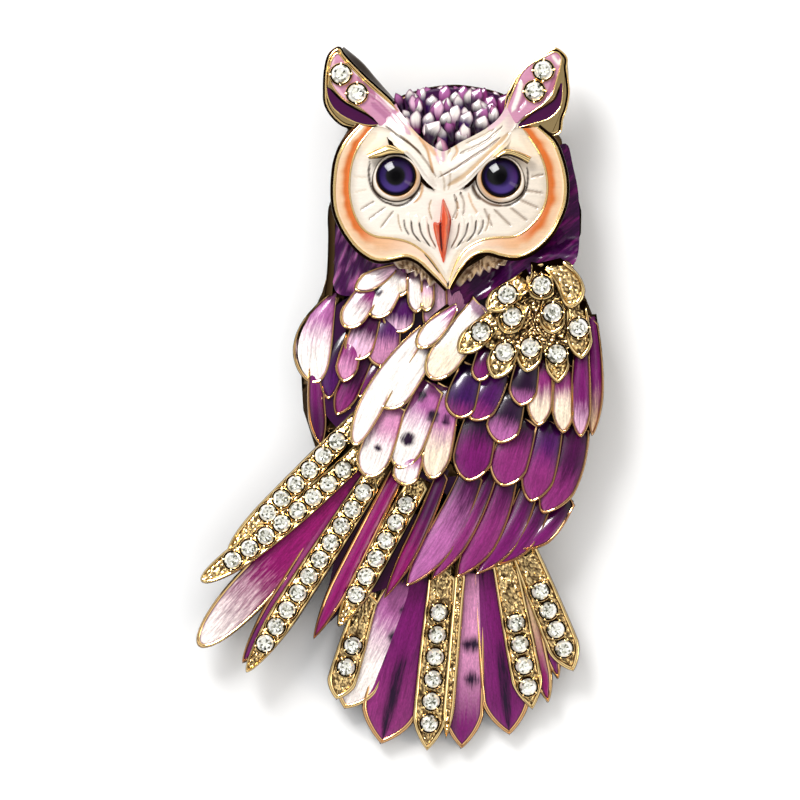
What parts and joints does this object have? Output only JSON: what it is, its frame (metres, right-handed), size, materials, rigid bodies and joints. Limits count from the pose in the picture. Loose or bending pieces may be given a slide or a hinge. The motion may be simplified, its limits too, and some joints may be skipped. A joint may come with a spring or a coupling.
{
  "type": "owl brooch",
  "caption": "Owl brooch lying on its back: a hollow gold-plated casting with raised enamelled feathers, set clear stones, domed eyes and a plain pin on the back.",
  "frame": {"origin": "on the surface that the brooch lies on, below the middle of its box", "axes": "+X to the right across the owl as it is looked at, +Y from the tail to the ears, +Z from the back to the face"},
  "size_m": [0.0348, 0.0603, 0.0085],
  "materials": {
    "gold_plate": "pale gold plating, polished, over cast zinc alloy",
    "pin_metal": "plated spring steel, satin",
    "ivory_enamel": "hard glossy enamel",
    "orange_enamel": "hard glossy enamel",
    "pink_enamel": "hard glossy enamel",
    "plum_enamel": "hard glossy enamel",
    "violet_enamel": "hard glossy enamel",
    "mauve_enamel": "hard glossy enamel",
    "magenta_enamel": "hard glossy enamel",
    "eye_resin": "polished resin cabochon",
    "beak_enamel": "hard glossy enamel",
    "clear_stone": "cut glass stone with a foiled back"
  },
  "bodies": {
    "root": {"casting": "gold_plate", "pin_back": "pin_metal", "face_enamel": "ivory_enamel", "face_band_left": "orange_enamel", "face_band_right": "orange_enamel", "brow_enamel": "ivory_enamel", "crown_enamel": "violet_enamel", "ear_enamel_left": "pink_enamel", "ear_enamel_right": "pink_enamel", "ear_shade_left": "plum_enamel", "ear_shade_right": "plum_enamel", "eye_left": "eye_resin", "eye_right": "eye_resin", "beak": "beak_enamel", "neck_enamel": "plum_enamel", "breast_enamel": "mauve_enamel", "covert_enamel": "violet_enamel", "primary_enamel": "magenta_enamel", "wing_enamel": "violet_enamel", "tail_enamel": "magenta_enamel", "ear_stone_1": "clear_stone", "ear_stone_2": "clear_stone", "ear_stone_3": "clear_stone", "ear_stone_4": "clear_stone", "shoulder_stone_1": "clear_stone", "shoulder_stone_2": "clear_stone", "shoulder_stone_3": "clear_stone", "shoulder_stone_4": "clear_stone", "shoulder_stone_5": "clear_stone", "shoulder_stone_6": "clear_stone", "shoulder_stone_7": "clear_stone", "shoulder_stone_8": "clear_stone", "shoulder_stone_9": "clear_stone", "wing_stones_1": "clear_stone", "wing_stones_2": "clear_stone", "wing_stones_3": "clear_stone", "wing_stones_4": "clear_stone", "tail_stones_1": "clear_stone", "tail_stones_2": "clear_stone", "tail_stones_3": "clear_stone", "tail_stones_4": "clear_stone"}
  },
  "joints": []
}
